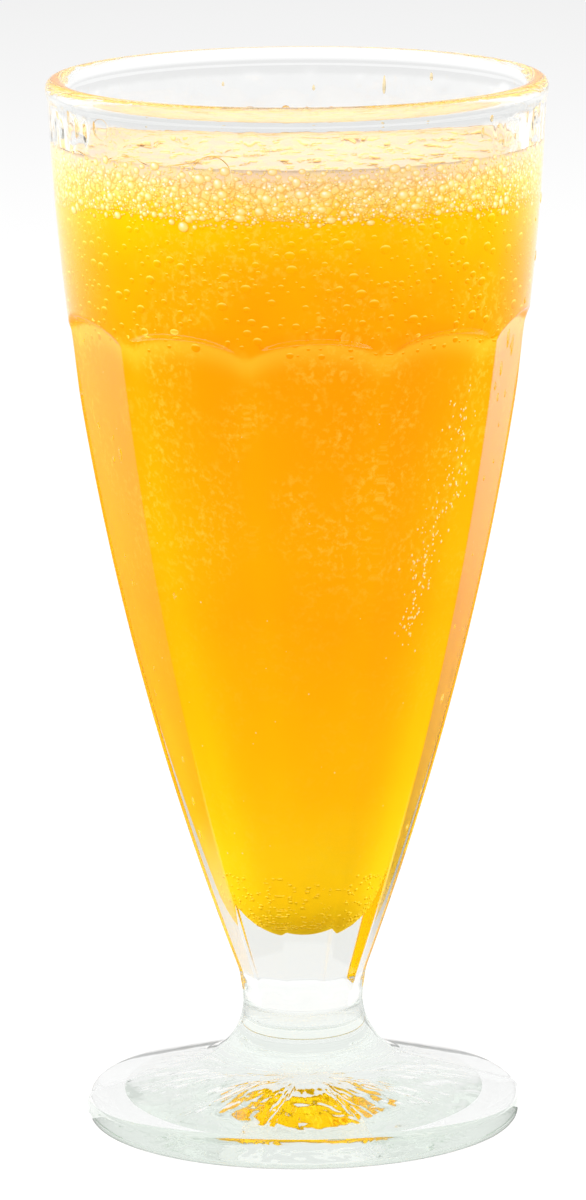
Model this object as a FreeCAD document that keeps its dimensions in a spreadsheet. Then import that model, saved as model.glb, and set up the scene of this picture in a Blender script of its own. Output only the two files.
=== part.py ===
import FreeCAD
import Part
import math
import os
import Sketcher

# Footed soda glass: a round band under the rim, ten flat panels round the tapering bowl, a short
# solid stem and a disc foot, all pressed as one piece. It holds orange soda with froth on top.
# Millimetres, +Z up. The origin is on the surface that the glass stands on, under its middle.

sizes = {
    "glass_height": 179.0,
    # rounded lip, a little wider than the wall under it
    "lip_radius": 42.05,
    "lip_round": 1.6,
    "lip_depth": 3.5,
    "lip_under_round": 4.7,
    "rim_wall": 3.7,
    # round band between the lip and the panels
    "band_height": 38.4,
    "band_radius": 41.7,
    "band_sweep": 520.0,
    "shoulder_radius": 38.95,
    "shoulder_wall": 3.9,
    # tapering bowl
    "bowl_sweep": 512.0,
    "bowl_foot_radius": 11.15,
    "bowl_foot_rise": 6.2,
    # flat panels, ramped out at the top and run out at the bottom
    "panel_count": 10,
    "panel_sweep": 535.0,
    "panel_top_depth": 2.62,
    "panel_bottom_depth": 0.72,
    "panel_width": 60.0,
    "ramp_height": 4.6,
    "ramp_round": 7.6,
    "ramp_reach": 2.15,
    "ramp_over": 1.4,
    "runout_round": 7.0,
    "runout_inset": 0.65,
    "runout_lift": 1.2,
    "panel_clear": 10.0,
    # solid stem
    "waist_height": 20.3,
    "waist_radius": 9.92,
    "waist_sweep": 18.0,
    # foot
    "flare_round": 11.7,
    "cone_radius": 18.7,
    "cone_height": 9.8,
    "foot_radius": 36.7,
    "foot_edge_height": 5.34,
    "foot_edge_inset": 1.5,
    "foot_edge_drop": 1.94,
    "foot_top_round": 2.0,
    "foot_low_round": 1.4,
    "foot_ring_width": 6.0,
    "foot_hollow": 1.2,
    # hollow of the bowl
    "floor_thickness": 34.4,
    "floor_round": 10.5,
    "floor_side_rise": 7.3,
    "hollow_sweep": 560.0,
    "hollow_band_sweep": 900.0,
    "mouth_clear": 4.0,
    # soda and froth
    "froth_below_rim": 11.3,
    "froth_depth": 6.9,
}

doc = FreeCAD.newDocument("soda_glass")


def make_sheet():
    sheet = doc.addObject("Spreadsheet::Sheet", "Sizes")
    for row, (name, value) in enumerate(sizes.items(), start=1):
        sheet.set("A%d" % row, name)
        sheet.set("B%d" % row, str(value))
        sheet.setAlias("B%d" % row, name)
    doc.recompute()


# A place along an axis is a sum of named sizes; a leading minus takes a size away.
def total(names):
    return sum(-sizes[name[1:]] if name[0] == "-" else sizes[name] for name in names.split())


def formula(names):
    text = ""
    for name in names.split():
        sign = " - " if name[0] == "-" else " + "
        text += sign + "Sizes." + name.lstrip("-")
    return text.lstrip(" +")


# Centre of the circle through two corners; it lies left of the way between them when side is 1.
def arc_centre(start, end, radius, side):
    middle = (start + end) * 0.5
    chord = end - start
    reach = math.sqrt(radius ** 2 - (chord.Length / 2) ** 2)
    left = FreeCAD.Vector(-chord.y, chord.x, 0).normalize()
    return middle + left * reach * side


# Centre, on the axis, of the dome from its crown to its edge.
def dome_centre(crown, edge):
    rise = crown.y - edge.y
    radius = (edge.x ** 2 + rise ** 2) / (2 * rise)
    return FreeCAD.Vector(0, crown.y - radius, 0)


def add_edge(sketch, start, end, shape):
    if shape == "line":
        return sketch.addGeometry(Part.LineSegment(start, end), False), 1, 2
    side = shape[1]
    if shape[0] == "dome":
        centre = dome_centre(start, end)
    else:
        centre = arc_centre(start, end, total(shape[2]), side)
    radius = centre.distanceToPoint(start)
    first = math.atan2(start.y - centre.y, start.x - centre.x)
    last = math.atan2(end.y - centre.y, end.x - centre.x)
    circle = Part.Circle(centre, FreeCAD.Vector(0, 0, 1), radius)
    if side == 1:
        return sketch.addGeometry(Part.ArcOfCircle(circle, first, last), False), 1, 2
    return sketch.addGeometry(Part.ArcOfCircle(circle, last, first), False), 2, 1


def hold(sketch, kind, edge, point, names):
    if names == "":
        axis = -2 if kind == "DistanceX" else -1
        sketch.addConstraint(Sketcher.Constraint("PointOnObject", edge, point, axis))
        return
    rule = Sketcher.Constraint(kind, -1, 1, edge, point, total(names))
    number = sketch.addConstraint(rule)
    sketch.setExpression("Constraints[%d]" % number, formula(names))


# Closed outline in a plane of the body. Each corner is its distance out, its height and the edge
# that leaves it. A corner with a guess in place of the distance slides along its arc.
def draw_outline(body, name, role, corners):
    sketch = body.newObject("Sketcher::SketchObject", name)
    plane = [item for item in body.Origin.OriginFeatures if item.Role == role][0]
    sketch.AttachmentSupport = [(plane, "")]
    sketch.MapMode = "FlatFace"
    points = []
    for across, up, shape in corners:
        out = across if isinstance(across, float) else total(across)
        points.append(FreeCAD.Vector(out, total(up), 0))
    edges = []
    for number, (across, up, shape) in enumerate(corners):
        end = points[(number + 1) % len(points)]
        edges.append(add_edge(sketch, points[number], end, shape))
    for number, (across, up, shape) in enumerate(corners):
        edge, start, end = edges[number]
        before, before_start, before_end = edges[number - 1]
        sketch.addConstraint(Sketcher.Constraint("Coincident", before, before_end, edge, start))
        if not isinstance(across, float):
            hold(sketch, "DistanceX", edge, start, across)
        hold(sketch, "DistanceY", edge, start, up)
        if shape == "line":
            continue
        if shape[0] != "dome":
            rule = sketch.addConstraint(Sketcher.Constraint("Radius", edge, total(shape[2])))
            sketch.setExpression("Constraints[%d]" % rule, formula(shape[2]))
        if shape[0] != "arc":
            sketch.addConstraint(Sketcher.Constraint("PointOnObject", edge, 3, -2))
    return sketch


def revolve(body, name, sketch):
    turn = body.newObject("PartDesign::Revolution", name)
    turn.Profile = sketch
    turn.ReferenceAxis = (sketch, ["V_Axis"])
    turn.Angle = 360
    sketch.Visibility = False
    doc.recompute()
    return turn


# Solid outer form of foot, stem and bowl, before the panels and the hollow are taken out.
def make_blank():
    body = doc.addObject("PartDesign::Body", "Blank")
    body.Label = "outer form"
    corners = [
        ("", "foot_hollow", ("dome", -1)),
        ("foot_radius -foot_low_round -foot_ring_width", "", "line"),
        ("foot_radius -foot_low_round", "", ("arc", 1, "foot_low_round")),
        ("foot_radius", "foot_low_round", "line"),
        ("foot_radius", "foot_edge_height -foot_edge_drop", ("arc", 1, "foot_top_round")),
        ("foot_radius -foot_edge_inset", "foot_edge_height", "line"),
        ("cone_radius", "cone_height", ("arc", -1, "flare_round")),
        ("waist_radius", "waist_height", ("arc", -1, "waist_sweep")),
        ("bowl_foot_radius", "waist_height bowl_foot_rise", ("arc", 1, "bowl_sweep")),
        ("shoulder_radius", "glass_height -band_height", ("arc", 1, "band_sweep")),
        ("band_radius", "glass_height -lip_depth", ("arc", 1, "lip_under_round")),
        ("lip_radius", "glass_height -lip_round", ("arc", 1, "lip_round")),
        ("lip_radius -lip_round", "glass_height", "line"),
        ("", "glass_height", "line"),
    ]
    sketch = draw_outline(body, "BlankOutline", "YZ_Plane", corners)
    revolve(body, "BlankTurn", sketch)
    return body


# One flat runs up the bowl, ramps out under the band and runs out above the waist.
def cut_panels(body):
    corners = [
        ("bowl_foot_radius -panel_bottom_depth", "waist_height bowl_foot_rise",
         ("arc", 1, "panel_sweep")),
        ("shoulder_radius -panel_top_depth", "glass_height -band_height -ramp_height",
         ("arc", -1, "ramp_round")),
        ("shoulder_radius ramp_reach", "glass_height -band_height ramp_over", "line"),
        ("band_radius panel_clear", "glass_height -band_height ramp_over", "line"),
        ("band_radius panel_clear", "waist_height runout_lift", "line"),
        ("bowl_foot_radius -runout_inset", "waist_height runout_lift",
         ("arc", -1, "runout_round")),
    ]
    sketch = draw_outline(body, "PanelOutline", "YZ_Plane", corners)
    before = body.Shape.Volume
    flat = body.newObject("PartDesign::Pocket", "Panel")
    flat.Profile = sketch
    flat.Type = "Length"
    flat.Midplane = True
    flat.setExpression("Length", "Sizes.panel_width")
    sketch.Visibility = False
    doc.recompute()
    one = before - body.Shape.Volume
    axis = [item for item in body.Origin.OriginFeatures if item.Role == "Z_Axis"][0]
    panels = body.newObject("PartDesign::PolarPattern", "Panels")
    panels.Originals = [flat]
    panels.Axis = (axis, [""])
    panels.Angle = 360
    panels.setExpression("Occurrences", "Sizes.panel_count")
    body.Tip = panels
    doc.recompute()
    print("panel removes %.1f, all panels %.1f mm3" % (one, before - body.Shape.Volume))


# Inside of the bowl, from its round floor up through the mouth.
def make_hollow():
    body = doc.addObject("PartDesign::Body", "Hollow")
    body.Label = "bowl hollow"
    side = math.sqrt(total("floor_round") ** 2 - total("floor_round -floor_side_rise") ** 2)
    lip_inside = "lip_radius -lip_round -band_radius rim_wall"
    lip_start = "glass_height -lip_radius lip_round band_radius -rim_wall"
    corners = [
        ("", "floor_thickness", ("arc on axis", 1, "floor_round")),
        (side, "floor_thickness floor_side_rise", ("arc", 1, "hollow_sweep")),
        ("shoulder_radius -shoulder_wall", "glass_height -band_height",
         ("arc", 1, "hollow_band_sweep")),
        ("band_radius -rim_wall", lip_start, ("arc", -1, lip_inside)),
        ("lip_radius -lip_round", "glass_height", "line"),
        ("lip_radius -lip_round", "glass_height mouth_clear", "line"),
        ("", "glass_height mouth_clear", "line"),
    ]
    sketch = draw_outline(body, "HollowOutline", "YZ_Plane", corners)
    revolve(body, "HollowTurn", sketch)
    return body


def make_glass(blank, hollow):
    glass = doc.addObject("Part::Cut", "Glass")
    glass.Label = "glass"
    glass.Base = blank
    glass.Tool = hollow
    return glass


# What lies in the hollow between two levels.
def fill_hollow(label, hollow, low, depth):
    zone = doc.addObject("Part::Cylinder", label.capitalize() + "Zone")
    zone.Label = label + " zone"
    zone.setExpression("Radius", "Sizes.lip_radius")
    zone.setExpression("Height", formula(depth))
    zone.setExpression("Placement.Base.z", formula(low))
    layer = doc.addObject("Part::Common", label.capitalize())
    layer.Label = label
    layer.Base = hollow
    layer.Tool = zone
    return layer


def check_document():
    for item in doc.Objects:
        if "Invalid" in item.State or "Error" in item.State:
            raise RuntimeError("%s did not build: %s" % (item.Label, item.State))


def write_part(item):
    shape = item.Shape
    if shape.isNull() or not shape.isValid():
        raise RuntimeError(item.Label + " has no valid shape")
    box = shape.BoundBox
    print("%s: %d solid, %.0f mm3, z %.2f to %.2f" %
          (item.Label, len(shape.Solids), shape.Volume, box.ZMin, box.ZMax))
    shape.exportStep("parts/%s.step" % item.Label)


make_sheet()
blank = make_blank()
cut_panels(blank)
hollow = make_hollow()
glass = make_glass(blank, hollow)
soda_level = "glass_height -froth_below_rim -froth_depth"
soda = fill_hollow("drink", hollow, "floor_thickness", soda_level + " -floor_thickness")
froth = fill_hollow("froth", hollow, soda_level, "froth_depth")
doc.recompute()
check_document()
os.makedirs("parts", exist_ok=True)
for item in (glass, soda, froth):
    write_part(item)
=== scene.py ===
import bmesh
import bpy
import math
import random
from mathutils import Matrix, Vector, noise


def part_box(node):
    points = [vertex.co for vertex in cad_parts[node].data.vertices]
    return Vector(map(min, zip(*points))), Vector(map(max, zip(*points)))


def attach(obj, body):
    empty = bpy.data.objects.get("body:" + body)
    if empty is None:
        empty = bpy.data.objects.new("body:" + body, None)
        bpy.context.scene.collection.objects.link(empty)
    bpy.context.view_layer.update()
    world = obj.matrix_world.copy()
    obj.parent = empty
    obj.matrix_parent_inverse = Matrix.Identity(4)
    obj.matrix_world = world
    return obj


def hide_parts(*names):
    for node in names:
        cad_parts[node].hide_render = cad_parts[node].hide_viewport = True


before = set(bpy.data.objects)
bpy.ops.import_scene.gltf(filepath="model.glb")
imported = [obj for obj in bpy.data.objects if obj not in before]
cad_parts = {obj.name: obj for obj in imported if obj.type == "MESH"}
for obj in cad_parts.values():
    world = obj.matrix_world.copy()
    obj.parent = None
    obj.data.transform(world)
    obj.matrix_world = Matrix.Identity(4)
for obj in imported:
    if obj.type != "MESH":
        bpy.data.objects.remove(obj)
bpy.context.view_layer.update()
mm = 0.001
drinkLow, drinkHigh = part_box("drink")
frothLow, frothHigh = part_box("froth")
print("frame loaded")


# sRGB hex to a linear colour
def colour(hexText):
    parts = [int(hexText[i:i + 2], 16) / 255 for i in (1, 3, 5)]
    return [c / 12.92 if c <= 0.04045 else ((c + 0.055) / 1.055) ** 2.4 for c in parts] + [1.0]


# adds one node: settings are its properties, inputs are values or another node's output
def addNode(tree, kind, settings=None, inputs=None):
    node = tree.nodes.new(kind)
    for name, value in (settings or {}).items():
        setattr(node, name, value)
    for name, value in (inputs or {}).items():
        if isinstance(value, bpy.types.NodeSocket):
            tree.links.new(value, node.inputs[name])
        else:
            node.inputs[name].default_value = value
    return node


def newMaterial(name):
    material = bpy.data.materials.new(name)
    material.use_nodes = True
    material.node_tree.nodes.clear()
    return material, material.node_tree


# sets the stops of a colour ramp from (place, hex) pairs
def setStops(ramp, stops):
    elements = ramp.color_ramp.elements
    for _ in range(len(stops) - 2):
        elements.new(0.5)
    for element, (at, shade) in zip(elements, stops):
        element.position = at
        element.color = colour(shade)


def finishPiece(mesh, name, material, slot, *nodes):
    piece = bpy.data.objects.new(name, mesh)
    bpy.context.collection.objects.link(piece)
    mesh.materials.append(material)
    mesh.polygons.foreach_set("use_smooth", [True] * len(mesh.polygons))
    mesh.update()
    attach(piece, "root")
    if nodes:
        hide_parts(*nodes)


def toMeshData(mesh, name):
    data = bpy.data.meshes.new(name)
    mesh.to_mesh(data)
    mesh.free()
    return data


# the centre of an arc from a to b; side 1 puts it to the left of the way there
def arcCentre(a, b, radius, side):
    chord = b - a
    left = Vector((-chord.y, chord.x)).normalized()
    return (a + b) / 2 + left * side * math.sqrt(radius ** 2 - (chord.length / 2) ** 2)


# Points along a chain of lines and arcs, from (out, up) corners in millimetres. An edge is a step
# length for a line, or a radius, side and step for an arc.
def sampleOutline(corners):
    points = [corners[0][0]]
    for (start, edge), (end, _) in zip(corners, corners[1:]):
        a, b = Vector(start), Vector(end)
        chord = b - a
        if len(edge) == 1:
            count = max(1, round(chord.length / edge[0]))
            points += [tuple(a + chord * (i / count)) for i in range(1, count + 1)]
            continue
        radius, side, step = edge
        centre = arcCentre(a, b, radius, side)
        sweep = 2 * math.asin(chord.length / 2 / radius) * side
        count = max(2, round(abs(sweep) * radius / step))
        for i in range(1, count + 1):
            turn = Matrix.Rotation(sweep * i / count, 2)
            points.append(tuple(centre + turn @ (a - centre)))
    return points


# leaves out the rows between two heights, apart from every sixth
def thinRows(points, low, high):
    return [p for i, p in enumerate(points) if not low < p[1] < high or i % 6 == 0]


def radiusAt(points, up):
    for (outA, upA), (outB, upB) in zip(points, points[1:]):
        if upA <= up <= upB and upB > upA:
            return outA + (outB - outA) * (up - upA) / (upB - upA)
    return points[-1][0]


def smoothStep(value, low, high):
    t = min(max((value - low) / (high - low), 0.0), 1.0)
    return t * t * (3 - 2 * t)


def spinOutline(points, steps):
    mesh = bmesh.new()
    verts = [mesh.verts.new((out * mm, 0, up * mm)) for out, up in points]
    edges = [mesh.edges.new(pair) for pair in zip(verts, verts[1:])]
    bmesh.ops.spin(mesh, geom=verts + edges, cent=(0, 0, 0), axis=(0, 0, 1),
                   angle=2 * math.pi, steps=steps, use_merge=True)
    bmesh.ops.remove_doubles(mesh, verts=mesh.verts, dist=1e-6)
    bmesh.ops.recalc_face_normals(mesh, faces=mesh.faces)
    return mesh


# The glass, in millimetres. A sweep or a round is an arc's radius, and a row is the step from one row
# of the mesh to the next.
glassValues = dict(
    height=179.0, lipRadius=42.05, lipRound=1.6, lipDepth=3.5, lipUnderRound=4.7, rimWall=3.7,
    bandHeight=38.4, bandRadius=41.7, bandSweep=520.0, shoulderRadius=38.95, shoulderWall=3.9,
    bowlSweep=512.0, bowlFootRadius=11.15, bowlFootRise=6.2,
    panelCount=10, panelSweep=535.0, panelTopDepth=2.62, panelBottomDepth=0.72, rampHeight=4.6,
    runoutRound=7.0, runoutInset=0.65, runoutLift=1.2, cornerRound=1.6, edgeSoft=0.16,
    archPeak=140.2, archRise=2.6, archStep=1.7, archRound=2.4,
    waistHeight=20.3, waistRadius=9.92, waistSweep=18.0, flareRound=11.7, coneRadius=18.7,
    coneHeight=9.8, footRadius=36.7, footEdgeHeight=5.34, footEdgeInset=1.5, footEdgeDrop=1.94,
    footTopRound=2.0, footLowRound=1.4, footRingWidth=6.0, footHollow=1.2,
    floorThickness=34.4, floorRound=10.5, floorSideRise=7.3, hollowSweep=560.0, hollowBandSweep=900.0,
    seamHeight=0.28, seamWidth=0.5, seamEnd=135.0, rippleHeight=0.035, rippleSpacing=2.3,
    rippleLow=5.5, rippleHigh=20.5, wetLow=165.5, wetHigh=176.8, wetDepth=0.5, underWaves=0.3,
    wallSteps=360, cornerCrowding=0.65, crestRow=0.28, archRow=0.3, roundRow=0.35, bandRow=0.4,
    flareRow=0.5, stemRow=0.65, wetRow=0.7, floorRow=0.8, edgeRow=1.0, domeRow=1.2, coneRow=1.6,
    ringRow=2.0, bowlRow=3.2, shade="#ffffff", ior=1.5, tint="#bcd6be", absorption=6.0,
)


# the bowl's long arc, with close rows only where the arches are
def bowlOutline(s, start, end):
    points = sampleOutline([(start, (s["bowlSweep"], 1, s["archRow"])), (end, ())])
    kept = [points[0]]
    for point in points[1:]:
        close = point[1] > s["archPeak"] - s["archRise"] - 2 * s["archStep"]
        if point[1] - kept[-1][1] > (s["crestRow"] if close else s["bowlRow"]):
            kept.append(point)
    if kept[-1] != points[-1]:
        kept.append(points[-1])
    return kept


def glassOutside(s):
    top = s["height"]
    shoulder = (s["shoulderRadius"], top - s["bandHeight"])
    bowlFoot = (s["bowlFootRadius"], s["waistHeight"] + s["bowlFootRise"])
    ringInner = s["footRadius"] - s["footLowRound"] - s["footRingWidth"]
    dome = (ringInner ** 2 + s["footHollow"] ** 2) / (2 * s["footHollow"])
    low = sampleOutline([
        ((0.0, s["footHollow"]), (dome, -1, s["domeRow"])),
        ((ringInner, 0.0), (s["ringRow"],)),
        ((s["footRadius"] - s["footLowRound"], 0.0), (s["footLowRound"], 1, s["roundRow"])),
        ((s["footRadius"], s["footLowRound"]), (s["edgeRow"],)),
        ((s["footRadius"], s["footEdgeHeight"] - s["footEdgeDrop"]),
         (s["footTopRound"], 1, s["roundRow"])),
        ((s["footRadius"] - s["footEdgeInset"], s["footEdgeHeight"]), (s["coneRow"],)),
        ((s["coneRadius"], s["coneHeight"]), (s["flareRound"], -1, s["flareRow"])),
        ((s["waistRadius"], s["waistHeight"]), (s["waistSweep"], -1, s["stemRow"])),
        (bowlFoot, ()),
    ])
    high = sampleOutline([
        (shoulder, (s["bandSweep"], 1, s["bandRow"])),
        ((s["bandRadius"], top - s["lipDepth"]), (s["lipUnderRound"], 1, s["roundRow"])),
        ((s["lipRadius"], top - s["lipRound"]), (s["lipRound"], 1, s["crestRow"])),
        ((s["lipRadius"] - s["lipRound"], top), ()),
    ])
    band = thinRows(high, shoulder[1] + 1.6, top - s["lipDepth"] - 0.1)
    return low + bowlOutline(s, bowlFoot, shoulder)[1:] + band[1:]


# the hollow's outline from its bottom to the lip, grown outwards for what fills it
def hollowOutline(s, grow=0.0, bowlRow=3.6):
    top = s["height"]
    shoulder = top - s["bandHeight"]
    side = math.sqrt(s["floorRound"] ** 2 - (s["floorRound"] - s["floorSideRise"]) ** 2)
    inset = s["lipRadius"] - s["lipRound"] - s["bandRadius"] + s["rimWall"]
    points = sampleOutline([
        ((0.0, s["floorThickness"] - grow), (s["floorRound"] + grow, 1, s["floorRow"])),
        ((side + grow, s["floorThickness"] + s["floorSideRise"]), (s["hollowSweep"], 1, bowlRow)),
        ((s["shoulderRadius"] - s["shoulderWall"] + grow, shoulder),
         (s["hollowBandSweep"], 1, s["wetRow"])),
        ((s["bandRadius"] - s["rimWall"] + grow, top - inset), (inset, -1, s["crestRow"])),
        ((s["lipRadius"] - s["lipRound"], top), ()),
    ])
    # the band keeps close rows only where soda stayed on its wall
    return thinRows(points, shoulder + 1, s["wetLow"] - 1)


def arcDistance(start, end, radius, side, up):
    centre = arcCentre(Vector(start), Vector(end), radius, side)
    return centre.x + side * math.sqrt(max(radius ** 2 - (up - centre.y) ** 2, 0.0))


# distance of a panel's flat from the axis at a height
def panelDistance(s, up):
    top = (s["shoulderRadius"] - s["panelTopDepth"], s["height"] - s["bandHeight"] - s["rampHeight"])
    low = (s["bowlFootRadius"] - s["panelBottomDepth"], s["waistHeight"] + s["bowlFootRise"])
    if up < low[1]:
        end = (s["bowlFootRadius"] - s["runoutInset"], s["waistHeight"] + s["runoutLift"])
        return arcDistance(end, low, s["runoutRound"], -1, up)
    return arcDistance(low, top, s["panelSweep"], 1, up)


# height of an arch over its panel
def archEdge(s, fromCorner):
    half = math.pi / s["panelCount"]
    across = abs(math.sin(half - abs(fromCorner)) / math.sin(half))
    return s["archPeak"] - s["archRise"] * across ** s["archRound"]


# the outer wall's radius at a turn from the nearest panel corner: ten flats with fire-polished
# corners, which end under soft arches in the round wall
def wallRadius(s, outer, up, fromCorner):
    half = math.pi / s["panelCount"]
    flat = panelDistance(s, up)
    soft = min(s["cornerRound"], flat * 0.4)
    hub = (flat - soft) / math.cos(half)
    turn = abs(fromCorner)
    if hub * math.sin(turn) < soft * math.sin(half - turn):
        wall = hub * math.cos(turn) + math.sqrt(soft ** 2 - (hub * math.sin(turn)) ** 2)
    else:
        wall = flat / math.cos(half - turn)
    edge = archEdge(s, fromCorner)
    share = smoothStep(up, edge - s["archStep"] / 2, edge + s["archStep"] / 2)
    gap = wall - outer
    low = (wall + outer - math.sqrt(gap * gap + s["edgeSoft"] ** 2)) / 2
    return low + (outer - low) * share


def cornerTurn(s, turn):
    step = 2 * math.pi / s["panelCount"]
    return ((turn / step + 0.5) % 1.0 - 0.5) * step


# the outer wall with its panels, a mould seam on both sides up to the arches, and ripples of the
# moulding tool round the stem's flare
def mouldedRadius(s, outer, out, turn, up):
    if s["waistHeight"] + s["runoutLift"] < up < s["archPeak"] + s["archStep"] / 2:
        out = wallRadius(s, outer, up, cornerTurn(s, turn))
    beside = abs(math.sin(turn)) * out / s["seamWidth"]
    if up > s["footLowRound"] and beside < 4:
        fade = smoothStep(-up, -s["seamEnd"], 10 - s["seamEnd"])
        out += s["seamHeight"] * math.exp(-beside ** 2) * fade
    if s["footEdgeHeight"] + 0.5 < up < s["rippleHigh"]:
        fade = smoothStep(up, s["rippleLow"], s["rippleLow"] + 2.5)
        fade *= smoothStep(-up, -s["rippleHigh"], 3 - s["rippleHigh"])
        out += s["rippleHeight"] * fade * math.sin(2 * math.pi * out / s["rippleSpacing"])
    return out


# soda that stayed on the wall above the froth, in runs on the two sides and thinly elsewhere
def wetDepth(s, turn, up):
    spot = Vector((math.cos(turn), math.sin(turn), 0))
    runs = noise.noise(spot * 15 + Vector((0, 0, up * 0.20)))
    runs += 0.55 * noise.noise(spot * 33 + Vector((0, 0, up * 0.52)))
    sides = 0.16 + 0.84 * smoothStep(abs(spot.x), 0.86, 0.97)
    ends = smoothStep(up, s["wetLow"], s["wetLow"] + 2)
    ends *= smoothStep(-up, -s["wetHigh"], 3.5 - s["wetHigh"])
    return s["wetDepth"] * sides * ends * max(0.0, runs + 0.22)


def makeGlassMesh(s):
    outside = glassOutside(s)
    mesh = spinOutline(outside + hollowOutline(s)[-2::-1], s["wallSteps"])
    step = 2 * math.pi / s["panelCount"]
    outerAt = {}
    for vert in mesh.verts:
        out, up = math.hypot(vert.co.x, vert.co.y) / mm, vert.co.z / mm
        if out < 1e-3:
            continue
        # crowd the vertices towards the panel corners; one corner lies on the X axis
        turn = math.atan2(vert.co.y, vert.co.x)
        turn -= (s["cornerCrowding"] * step / (2 * math.pi)
                 * math.sin(2 * math.pi * cornerTurn(s, turn) / step))
        level = round(up, 3)
        if level not in outerAt:
            outerAt[level] = radiusAt(outside, up)
        if abs(out - outerAt[level]) < 0.02:
            out = mouldedRadius(s, outerAt[level], out, turn, up)
        elif up > s["wetLow"]:
            out -= wetDepth(s, turn, up)
        elif up < s["footHollow"] + 0.02:
            # the tool left the underside slightly wavy, which breaks up what shines through it
            waves = noise.noise(vert.co * 700) + 0.8 * noise.noise(vert.co * 1900)
            vert.co.z += s["underWaves"] * mm * waves * smoothStep(up, 0.1, 0.7)
        vert.co.x = math.cos(turn) * out * mm
        vert.co.y = math.sin(turn) * out * mm
    bmesh.ops.recalc_face_normals(mesh, faces=mesh.faces)
    return toMeshData(mesh, "pressedGlass")


def makeClearMaterial(name, shade, ior):
    # Pressed and fire-polished glass, and clear liquid that lies on it: smooth all through, so the
    # eye sees it only by what it bends and mirrors. Light goes straight through it in shadows.
    material, tree = newMaterial(name)
    body = addNode(tree, "ShaderNodeBsdfPrincipled", inputs={
        "Base Color": colour(shade), "Roughness": 0.0, "IOR": ior, "Transmission Weight": 1.0})
    path = addNode(tree, "ShaderNodeLightPath")
    clear = addNode(tree, "ShaderNodeBsdfTransparent", inputs={"Color": colour("#ffffff")})
    mix = addNode(tree, "ShaderNodeMixShader", inputs={
        0: path.outputs["Is Shadow Ray"], 1: body.outputs["BSDF"], 2: clear.outputs["BSDF"]})
    addNode(tree, "ShaderNodeOutputMaterial", inputs={"Surface": mix.outputs[0]})
    return material


def makeGlassMaterial(s):
    # soda-lime glass is faintly green, which shows only where it is thick, as in the stem and foot
    material = makeClearMaterial("pressedSodaLimeGlass", s["shade"], s["ior"])
    tree = material.node_tree
    depth = addNode(tree, "ShaderNodeVolumeAbsorption", inputs={
        "Color": colour(s["tint"]), "Density": s["absorption"]})
    tree.links.new(depth.outputs[0], tree.nodes["Material Output"].inputs["Volume"])
    return material


finishPiece(makeGlassMesh(glassValues), "sodaGlass", makeGlassMaterial(glassValues),
            "clear_glass", "glass")
print("glass")

outsideOutline = glassOutside(glassValues)
insideOutline = hollowOutline(glassValues)


def outsideAt(turn, up):
    outer = radiusAt(outsideOutline, up)
    if up < glassValues["archPeak"] + 1:
        return wallRadius(glassValues, outer, up, cornerTurn(glassValues, turn))
    return outer


def insideAt(turn, up):
    return radiusAt(insideOutline, up)


# A frame on a wall, for a small shape that lies on it: X runs round the wall, Y up it and Z out of
# it. The turn is in degrees, lengths are in millimetres.
def wallFrame(radius, turnDegrees, up, proud, size, outward=1):
    def place(a, b):
        return Vector((math.cos(a), math.sin(a), 0)) * radius(a, b) + Vector((0, 0, b))

    turn = math.radians(turnDegrees)
    across = (place(turn + 0.004, up) - place(turn - 0.004, up)).normalized()
    along = (place(turn, up + 0.2) - place(turn, up - 0.2)).normalized()
    out = across.cross(along).normalized() * outward
    across = along.cross(out)
    turned = Matrix((across * size[0], along * size[1], out * size[2])).transposed().to_4x4()
    return Matrix.Scale(mm, 4) @ Matrix.Translation(place(turn, up) + out * proud) @ turned


# painted light on a wet froth bubble: a gold foot that is partly its liquid border and partly painted
# shade, a paler middle, and a painted highlight as a bright glint at the upper left
def frothPaintedLight(spot):
    paintedGlint = math.exp(-((spot.x + 0.25) ** 2 + (spot.y - 0.4) ** 2) / 0.09)
    return 0.04 + 0.5 * max(spot.z, 0.0) ** 1.2 + 0.55 * paintedGlint


# painted highlight: a bubble in the soda shows only as a paler cap where light catches its top
def crescentHighlight(spot):
    return max(0.0, spot.y * 1.1 - 0.3 * spot.z)


# a dome with its painted light stored at its corners, for many copies
def makeDome(name, detail, paintedLightOf):
    mesh = bmesh.new()
    bmesh.ops.create_icosphere(mesh, subdivisions=detail, radius=1.0)
    bmesh.ops.bisect_plane(mesh, geom=mesh.verts[:] + mesh.edges[:] + mesh.faces[:],
                           plane_co=(0, 0, 0), plane_no=(0, 0, 1), clear_inner=True)
    paintedLight = mesh.verts.layers.float.new("paintedLight")
    for vert in mesh.verts:
        vert[paintedLight] = paintedLightOf(vert.co)
    return toMeshData(mesh, name)


def joinCopies(placed, name):
    mesh = bmesh.new()
    for template, place in placed:
        copy = template.copy()
        copy.transform(place)
        mesh.from_mesh(copy)
        bpy.data.meshes.remove(copy)
    return toMeshData(mesh, name)


# Random spots that keep their distance; spread gives (across, up, radius) each time it is called.
# The spots kept so far are looked up by cell, three millimetres wide.
def scatter(count, spread, closeness, tries=12):
    kept, cells = [], {}
    for _ in range(count * tries):
        if len(kept) >= count:
            break
        x, y, radius = spread()
        cell = (int(x // 3), int(y // 3))
        near = [n for i in (-1, 0, 1) for j in (-1, 0, 1)
                for n in cells.get((cell[0] + i, cell[1] + j), ())]
        if any((x - a) ** 2 + (y - b) ** 2 < ((radius + c) * closeness) ** 2 for a, b, c in near):
            continue
        kept.append((x, y, radius))
        cells.setdefault(cell, []).append((x, y, radius))
    return kept
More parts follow.
